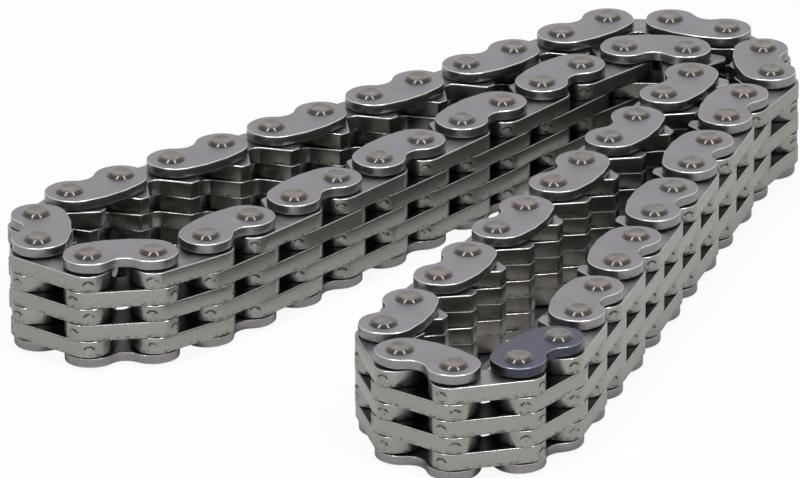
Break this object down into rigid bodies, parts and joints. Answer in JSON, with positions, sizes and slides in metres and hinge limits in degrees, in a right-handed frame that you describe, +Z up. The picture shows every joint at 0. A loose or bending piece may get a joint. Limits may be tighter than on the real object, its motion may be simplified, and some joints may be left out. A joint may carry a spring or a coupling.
{
  "type": "oil pump chain",
  "caption": "Endless inverted-tooth drive chain for an oil pump: toothed plates interleaved on round pins between waisted guide plates, laid flat in a narrow V.",
  "frame": {"origin": "centre of the bounding box at its base, on the plane of the lower pin ends", "axes": "+X along the longest side of the laid-out loop, from the tips of the two arms to the corner between them; +Z up, along the pins"},
  "size_m": [0.0903, 0.065, 0.0117],
  "materials": {
    "outer_link_steel": "barrel-finished steel guide plates, satin, with peened steel pin ends",
    "inner_link_steel": "case-hardened steel toothed plates, darker satin with an oil film",
    "blued_plate": "heat-blued steel guide plate, dark slate blue"
  },
  "bodies": {
    "outer_link_01": {"outer_link_01": "outer_link_steel"},
    "inner_link_01": {"inner_link_01": "inner_link_steel"},
    "outer_link_02": {"outer_link_02": "outer_link_steel"},
    "inner_link_02": {"inner_link_02": "inner_link_steel"},
    "outer_link_03": {"outer_link_03": "outer_link_steel"},
    "inner_link_03": {"inner_link_03": "inner_link_steel"},
    "outer_link_04": {"outer_link_04": "outer_link_steel"},
    "inner_link_04": {"inner_link_04": "inner_link_steel"},
    "outer_link_05": {"outer_link_05": "outer_link_steel"},
    "inner_link_05": {"inner_link_05": "inner_link_steel"},
    "outer_link_06": {"outer_link_06": "outer_link_steel"},
    "inner_link_06": {"inner_link_06": "inner_link_steel"},
    "outer_link_07": {"outer_link_07": "outer_link_steel"},
    "inner_link_07": {"inner_link_07": "inner_link_steel"},
    "outer_link_08": {"outer_link_08": "outer_link_steel"},
    "inner_link_08": {"inner_link_08": "inner_link_steel"},
    "outer_link_09": {"outer_link_09": "outer_link_steel"},
    "inner_link_09": {"inner_link_09": "inner_link_steel"},
    "outer_link_10": {"outer_link_10": "outer_link_steel"},
    "inner_link_10": {"inner_link_10": "inner_link_steel"},
    "outer_link_11": {"outer_link_11": "outer_link_steel"},
    "inner_link_11": {"inner_link_11": "inner_link_steel"},
    "outer_link_12": {"outer_link_12": "outer_link_steel"},
    "inner_link_12": {"inner_link_12": "inner_link_steel"},
    "outer_link_13": {"outer_link_13": "outer_link_steel"},
    "inner_link_13": {"inner_link_13": "inner_link_steel"},
    "outer_link_14": {"outer_link_14": "outer_link_steel", "marker_plate_top": "blued_plate", "marker_plate_bottom": "outer_link_steel"},
    "inner_link_14": {"inner_link_14": "inner_link_steel"},
    "outer_link_15": {"outer_link_15": "outer_link_steel"},
    "inner_link_15": {"inner_link_15": "inner_link_steel"},
    "outer_link_16": {"outer_link_16": "outer_link_steel"},
    "inner_link_16": {"inner_link_16": "inner_link_steel"},
    "outer_link_17": {"outer_link_17": "outer_link_steel"},
    "inner_link_17": {"inner_link_17": "inner_link_steel"},
    "outer_link_18": {"outer_link_18": "outer_link_steel"},
    "inner_link_18": {"inner_link_18": "inner_link_steel"},
    "outer_link_19": {"outer_link_19": "outer_link_steel"},
    "inner_link_19": {"inner_link_19": "inner_link_steel"},
    "outer_link_20": {"outer_link_20": "outer_link_steel"},
    "inner_link_20": {"inner_link_20": "inner_link_steel"},
    "outer_link_21": {"outer_link_21": "outer_link_steel"},
    "inner_link_21": {"inner_link_21": "inner_link_steel"},
    "outer_link_22": {"outer_link_22": "outer_link_steel"},
    "inner_link_22": {"inner_link_22": "inner_link_steel"},
    "outer_link_23": {"outer_link_23": "outer_link_steel"},
    "inner_link_23": {"inner_link_23": "inner_link_steel"},
    "outer_link_24": {"outer_link_24": "outer_link_steel"},
    "inner_link_24": {"inner_link_24": "inner_link_steel"},
    "outer_link_25": {"outer_link_25": "outer_link_steel"},
    "inner_link_25": {"inner_link_25": "inner_link_steel"},
    "outer_link_26": {"outer_link_26": "outer_link_steel"},
    "inner_link_26": {"inner_link_26": "inner_link_steel"},
    "outer_link_27": {"outer_link_27": "outer_link_steel"},
    "inner_link_27": {"inner_link_27": "inner_link_steel"},
    "outer_link_28": {"outer_link_28": "outer_link_steel"},
    "inner_link_28": {"inner_link_28": "inner_link_steel"},
    "outer_link_29": {"outer_link_29": "outer_link_steel"},
    "inner_link_29": {"inner_link_29": "inner_link_steel"}
  },
  "joints": [
    {"name": "fold", "type": "hinge", "parent": "outer_link_07", "child": "inner_link_07", "pos_m": [0.04238, 0.00131, 0.00585], "axis": [0, 0, 1], "range_deg": [-10, 10]},
    {"name": "hinge_15", "type": "hinge", "parent": "inner_link_07", "child": "outer_link_08", "pos_m": [0.04015, -0.00464, 0.00585], "axis": [0, 0, 1], "range_deg": [-10, 10]},
    {"name": "hinge_16", "type": "hinge", "parent": "outer_link_08", "child": "inner_link_08", "pos_m": [0.0354, -0.00885, 0.00585], "axis": [0, 0, 1], "range_deg": [-10, 10]},
    {"name": "hinge_17", "type": "hinge", "parent": "inner_link_08", "child": "outer_link_09", "pos_m": [0.02912, -0.00984, 0.00585], "axis": [0, 0, 1], "range_deg": [-10, 10]},
    {"name": "hinge_18", "type": "hinge", "parent": "outer_link_09", "child": "inner_link_09", "pos_m": [0.0231, -0.01186, 0.00585], "axis": [0, 0, 1], "range_deg": [-10, 10]},
    {"name": "hinge_19", "type": "hinge", "parent": "inner_link_09", "child": "outer_link_10", "pos_m": [0.01708, -0.01387, 0.00585], "axis": [0, 0, 1], "range_deg": [-10, 10]},
    {"name": "hinge_20", "type": "hinge", "parent": "outer_link_10", "child": "inner_link_10", "pos_m": [0.01105, -0.01587, 0.00585], "axis": [0, 0, 1], "range_deg": [-10, 10]},
    {"name": "hinge_21", "type": "hinge", "parent": "inner_link_10", "child": "outer_link_11", "pos_m": [0.00503, -0.01787, 0.00585], "axis": [0, 0, 1], "range_deg": [-10, 10]},
    {"name": "hinge_22", "type": "hinge", "parent": "outer_link_11", "child": "inner_link_11", "pos_m": [-0.001, -0.01987, 0.00585], "axis": [0, 0, 1], "range_deg": [-10, 10]},
    {"name": "hinge_23", "type": "hinge", "parent": "inner_link_11", "child": "outer_link_12", "pos_m": [-0.00703, -0.02185, 0.00585], "axis": [0, 0, 1], "range_deg": [-10, 10]},
    {"name": "hinge_24", "type": "hinge", "parent": "outer_link_12", "child": "inner_link_12", "pos_m": [-0.01306, -0.02384, 0.00585], "axis": [0, 0, 1], "range_deg": [-10, 10]},
    {"name": "hinge_25", "type": "hinge", "parent": "inner_link_12", "child": "outer_link_13", "pos_m": [-0.0191, -0.02582, 0.00585], "axis": [0, 0, 1], "range_deg": [-10, 10]},
    {"name": "hinge_26", "type": "hinge", "parent": "outer_link_13", "child": "inner_link_13", "pos_m": [-0.02513, -0.02779, 0.00585], "axis": [0, 0, 1], "range_deg": [-10, 10]},
    {"name": "hinge_27", "type": "hinge", "parent": "inner_link_13", "child": "outer_link_14", "pos_m": [-0.03117, -0.02976, 0.00585], "axis": [0, 0, 1], "range_deg": [-10, 10]},
    {"name": "hinge_28", "type": "hinge", "parent": "outer_link_14", "child": "inner_link_14", "pos_m": [-0.03752, -0.02965, 0.00585], "axis": [0, 0, 1], "range_deg": [-10, 10]},
    {"name": "hinge_29", "type": "hinge", "parent": "inner_link_14", "child": "outer_link_15", "pos_m": [-0.04239, -0.02557, 0.00585], "axis": [0, 0, 1], "range_deg": [-10, 10]},
    {"name": "hinge_30", "type": "hinge", "parent": "outer_link_15", "child": "inner_link_15", "pos_m": [-0.04228, -0.01922, 0.00585], "axis": [0, 0, 1], "range_deg": [-10, 10]},
    {"name": "hinge_31", "type": "hinge", "parent": "inner_link_15", "child": "outer_link_16", "pos_m": [-0.03821, -0.01436, 0.00585], "axis": [0, 0, 1], "range_deg": [-10, 10]},
    {"name": "hinge_32", "type": "hinge", "parent": "outer_link_16", "child": "inner_link_16", "pos_m": [-0.03203, -0.01287, 0.00585], "axis": [0, 0, 1], "range_deg": [-10, 10]},
    {"name": "hinge_33", "type": "hinge", "parent": "inner_link_16", "child": "outer_link_17", "pos_m": [-0.02577, -0.01181, 0.00585], "axis": [0, 0, 1], "range_deg": [-10, 10]},
    {"name": "hinge_34", "type": "hinge", "parent": "outer_link_17", "child": "inner_link_17", "pos_m": [-0.01951, -0.01076, 0.00585], "axis": [0, 0, 1], "range_deg": [-10, 10]},
    {"name": "hinge_35", "type": "hinge", "parent": "inner_link_17", "child": "outer_link_18", "pos_m": [-0.01325, -0.00971, 0.00585], "axis": [0, 0, 1], "range_deg": [-10, 10]},
    {"name": "hinge_36", "type": "hinge", "parent": "outer_link_18", "child": "inner_link_18", "pos_m": [-0.00699, -0.00865, 0.00585], "axis": [0, 0, 1], "range_deg": [-10, 10]},
    {"name": "hinge_37", "type": "hinge", "parent": "inner_link_18", "child": "outer_link_19", "pos_m": [-0.00072, -0.0076, 0.00585], "axis": [0, 0, 1], "range_deg": [-10, 10]},
    {"name": "hinge_38", "type": "hinge", "parent": "outer_link_19", "child": "inner_link_19", "pos_m": [0.00554, -0.00655, 0.00585], "axis": [0, 0, 1], "range_deg": [-10, 10]},
    {"name": "hinge_39", "type": "hinge", "parent": "inner_link_19", "child": "outer_link_20", "pos_m": [0.0118, -0.00549, 0.00585], "axis": [0, 0, 1], "range_deg": [-10, 10]},
    {"name": "hinge_40", "type": "hinge", "parent": "outer_link_20", "child": "inner_link_20", "pos_m": [0.01806, -0.00444, 0.00585], "axis": [0, 0, 1], "range_deg": [-10, 10]},
    {"name": "hinge_41", "type": "hinge", "parent": "inner_link_20", "child": "outer_link_21", "pos_m": [0.02432, -0.00339, 0.00585], "axis": [0, 0, 1], "range_deg": [-10, 10]},
    {"name": "hinge_13", "type": "hinge", "parent": "outer_link_07", "child": "inner_link_06", "pos_m": [0.04122, 0.00755, 0.00585], "axis": [0, 0, 1], "range_deg": [-10, 10]},
    {"name": "hinge_12", "type": "hinge", "parent": "inner_link_06", "child": "outer_link_06", "pos_m": [0.03776, 0.01287, 0.00585], "axis": [0, 0, 1], "range_deg": [-10, 10]},
    {"name": "hinge_11", "type": "hinge", "parent": "outer_link_06", "child": "inner_link_05", "pos_m": [0.03159, 0.01436, 0.00585], "axis": [0, 0, 1], "range_deg": [-10, 10]},
    {"name": "hinge_10", "type": "hinge", "parent": "inner_link_05", "child": "outer_link_05", "pos_m": [0.02541, 0.01585, 0.00585], "axis": [0, 0, 1], "range_deg": [-10, 10]},
    {"name": "hinge_09", "type": "hinge", "parent": "outer_link_05", "child": "inner_link_04", "pos_m": [0.01924, 0.01735, 0.00585], "axis": [0, 0, 1], "range_deg": [-10, 10]},
    {"name": "hinge_08", "type": "hinge", "parent": "inner_link_04", "child": "outer_link_04", "pos_m": [0.01308, 0.01887, 0.00585], "axis": [0, 0, 1], "range_deg": [-10, 10]},
    {"name": "hinge_07", "type": "hinge", "parent": "outer_link_04", "child": "inner_link_03", "pos_m": [0.00691, 0.02039, 0.00585], "axis": [0, 0, 1], "range_deg": [-10, 10]},
    {"name": "hinge_06", "type": "hinge", "parent": "inner_link_03", "child": "outer_link_03", "pos_m": [0.00075, 0.02193, 0.00585], "axis": [0, 0, 1], "range_deg": [-10, 10]},
    {"name": "hinge_05", "type": "hinge", "parent": "outer_link_03", "child": "inner_link_02", "pos_m": [-0.00541, 0.02348, 0.00585], "axis": [0, 0, 1], "range_deg": [-10, 10]},
    {"name": "hinge_04", "type": "hinge", "parent": "inner_link_02", "child": "outer_link_02", "pos_m": [-0.01156, 0.02503, 0.00585], "axis": [0, 0, 1], "range_deg": [-10, 10]},
    {"name": "hinge_03", "type": "hinge", "parent": "outer_link_02", "child": "inner_link_01", "pos_m": [-0.01772, 0.0266, 0.00585], "axis": [0, 0, 1], "range_deg": [-10, 10]},
    {"name": "hinge_02", "type": "hinge", "parent": "inner_link_01", "child": "outer_link_01", "pos_m": [-0.02387, 0.02818, 0.00585], "axis": [0, 0, 1], "range_deg": [-10, 10]},
    {"name": "hinge_01", "type": "hinge", "parent": "outer_link_01", "child": "inner_link_29", "pos_m": [-0.03001, 0.02977, 0.00585], "axis": [0, 0, 1], "range_deg": [-10, 10]},
    {"name": "hinge_58", "type": "hinge", "parent": "inner_link_29", "child": "outer_link_29", "pos_m": [-0.03631, 0.02899, 0.00585], "axis": [0, 0, 1], "range_deg": [-10, 10]},
    {"name": "hinge_57", "type": "hinge", "parent": "outer_link_29", "child": "inner_link_28", "pos_m": [-0.04122, 0.02496, 0.00585], "axis": [0, 0, 1], "range_deg": [-10, 10]},
    {"name": "hinge_56", "type": "hinge", "parent": "inner_link_28", "child": "outer_link_28", "pos_m": [-0.04149, 0.01862, 0.00585], "axis": [0, 0, 1], "range_deg": [-10, 10]},
    {"name": "hinge_55", "type": "hinge", "parent": "outer_link_28", "child": "inner_link_27", "pos_m": [-0.03709, 0.01404, 0.00585], "axis": [0, 0, 1], "range_deg": [-10, 10]},
    {"name": "hinge_54", "type": "hinge", "parent": "inner_link_27", "child": "outer_link_27", "pos_m": [-0.03099, 0.01226, 0.00585], "axis": [0, 0, 1], "range_deg": [-10, 10]},
    {"name": "hinge_53", "type": "hinge", "parent": "outer_link_27", "child": "inner_link_26", "pos_m": [-0.02468, 0.01162, 0.00585], "axis": [0, 0, 1], "range_deg": [-10, 10]},
    {"name": "hinge_52", "type": "hinge", "parent": "inner_link_26", "child": "outer_link_26", "pos_m": [-0.01835, 0.01103, 0.00585], "axis": [0, 0, 1], "range_deg": [-10, 10]},
    {"name": "hinge_51", "type": "hinge", "parent": "outer_link_26", "child": "inner_link_25", "pos_m": [-0.01203, 0.01047, 0.00585], "axis": [0, 0, 1], "range_deg": [-10, 10]},
    {"name": "hinge_50", "type": "hinge", "parent": "inner_link_25", "child": "outer_link_25", "pos_m": [-0.0057, 0.00995, 0.00585], "axis": [0, 0, 1], "range_deg": [-10, 10]},
    {"name": "hinge_49", "type": "hinge", "parent": "outer_link_25", "child": "inner_link_24", "pos_m": [0.00063, 0.00946, 0.00585], "axis": [0, 0, 1], "range_deg": [-10, 10]},
    {"name": "hinge_48", "type": "hinge", "parent": "inner_link_24", "child": "outer_link_24", "pos_m": [0.00697, 0.00902, 0.00585], "axis": [0, 0, 1], "range_deg": [-10, 10]},
    {"name": "hinge_47", "type": "hinge", "parent": "outer_link_24", "child": "inner_link_23", "pos_m": [0.0133, 0.00862, 0.00585], "axis": [0, 0, 1], "range_deg": [-10, 10]},
    {"name": "hinge_46", "type": "hinge", "parent": "inner_link_23", "child": "outer_link_23", "pos_m": [0.01964, 0.00825, 0.00585], "axis": [0, 0, 1], "range_deg": [-10, 10]},
    {"name": "hinge_45", "type": "hinge", "parent": "outer_link_23", "child": "inner_link_22", "pos_m": [0.02598, 0.00793, 0.00585], "axis": [0, 0, 1], "range_deg": [-10, 10]},
    {"name": "hinge_44", "type": "hinge", "parent": "inner_link_22", "child": "outer_link_22", "pos_m": [0.03226, 0.00699, 0.00585], "axis": [0, 0, 1], "range_deg": [-10, 10]},
    {"name": "hinge_43", "type": "hinge", "parent": "outer_link_22", "child": "inner_link_21", "pos_m": [0.03559, 0.00158, 0.00585], "axis": [0, 0, 1], "range_deg": [-10, 10]}
  ],
  "couplings": [
    {"joint": "hinge_15", "follows": "fold", "ratio": -1},
    {"joint": "hinge_16", "follows": "fold", "ratio": 1},
    {"joint": "hinge_17", "follows": "fold", "ratio": -1},
    {"joint": "hinge_18", "follows": "fold", "ratio": 1},
    {"joint": "hinge_19", "follows": "fold", "ratio": -1},
    {"joint": "hinge_20", "follows": "fold", "ratio": 1},
    {"joint": "hinge_21", "follows": "fold", "ratio": -1},
    {"joint": "hinge_22", "follows": "fold", "ratio": 1},
    {"joint": "hinge_23", "follows": "fold", "ratio": -1},
    {"joint": "hinge_24", "follows": "fold", "ratio": 1},
    {"joint": "hinge_25", "follows": "fold", "ratio": -1},
    {"joint": "hinge_26", "follows": "fold", "ratio": 1},
    {"joint": "hinge_27", "follows": "fold", "ratio": -1},
    {"joint": "hinge_28", "follows": "fold", "ratio": 1},
    {"joint": "hinge_29", "follows": "fold", "ratio": -1},
    {"joint": "hinge_30", "follows": "fold", "ratio": 1},
    {"joint": "hinge_31", "follows": "fold", "ratio": -1},
    {"joint": "hinge_32", "follows": "fold", "ratio": 1},
    {"joint": "hinge_33", "follows": "fold", "ratio": -1},
    {"joint": "hinge_34", "follows": "fold", "ratio": 1},
    {"joint": "hinge_35", "follows": "fold", "ratio": -1},
    {"joint": "hinge_36", "follows": "fold", "ratio": 1},
    {"joint": "hinge_37", "follows": "fold", "ratio": -1},
    {"joint": "hinge_38", "follows": "fold", "ratio": 1},
    {"joint": "hinge_39", "follows": "fold", "ratio": -1},
    {"joint": "hinge_40", "follows": "fold", "ratio": 1},
    {"joint": "hinge_41", "follows": "fold", "ratio": -1},
    {"joint": "hinge_13", "follows": "fold", "ratio": 1},
    {"joint": "hinge_12", "follows": "fold", "ratio": -1},
    {"joint": "hinge_11", "follows": "fold", "ratio": 1},
    {"joint": "hinge_10", "follows": "fold", "ratio": -1},
    {"joint": "hinge_09", "follows": "fold", "ratio": 1},
    {"joint": "hinge_08", "follows": "fold", "ratio": -1},
    {"joint": "hinge_07", "follows": "fold", "ratio": 1},
    {"joint": "hinge_06", "follows": "fold", "ratio": -1},
    {"joint": "hinge_05", "follows": "fold", "ratio": 1},
    {"joint": "hinge_04", "follows": "fold", "ratio": -1},
    {"joint": "hinge_03", "follows": "fold", "ratio": 1},
    {"joint": "hinge_02", "follows": "fold", "ratio": -1},
    {"joint": "hinge_01", "follows": "fold", "ratio": 1},
    {"joint": "hinge_58", "follows": "fold", "ratio": -1},
    {"joint": "hinge_57", "follows": "fold", "ratio": 1},
    {"joint": "hinge_56", "follows": "fold", "ratio": -1},
    {"joint": "hinge_55", "follows": "fold", "ratio": 1},
    {"joint": "hinge_54", "follows": "fold", "ratio": -1},
    {"joint": "hinge_53", "follows": "fold", "ratio": 1},
    {"joint": "hinge_52", "follows": "fold", "ratio": -1},
    {"joint": "hinge_51", "follows": "fold", "ratio": 1},
    {"joint": "hinge_50", "follows": "fold", "ratio": -1},
    {"joint": "hinge_49", "follows": "fold", "ratio": 1},
    {"joint": "hinge_48", "follows": "fold", "ratio": -1},
    {"joint": "hinge_47", "follows": "fold", "ratio": 1},
    {"joint": "hinge_46", "follows": "fold", "ratio": -1},
    {"joint": "hinge_45", "follows": "fold", "ratio": 1},
    {"joint": "hinge_44", "follows": "fold", "ratio": -1},
    {"joint": "hinge_43", "follows": "fold", "ratio": 1}
  ]
}
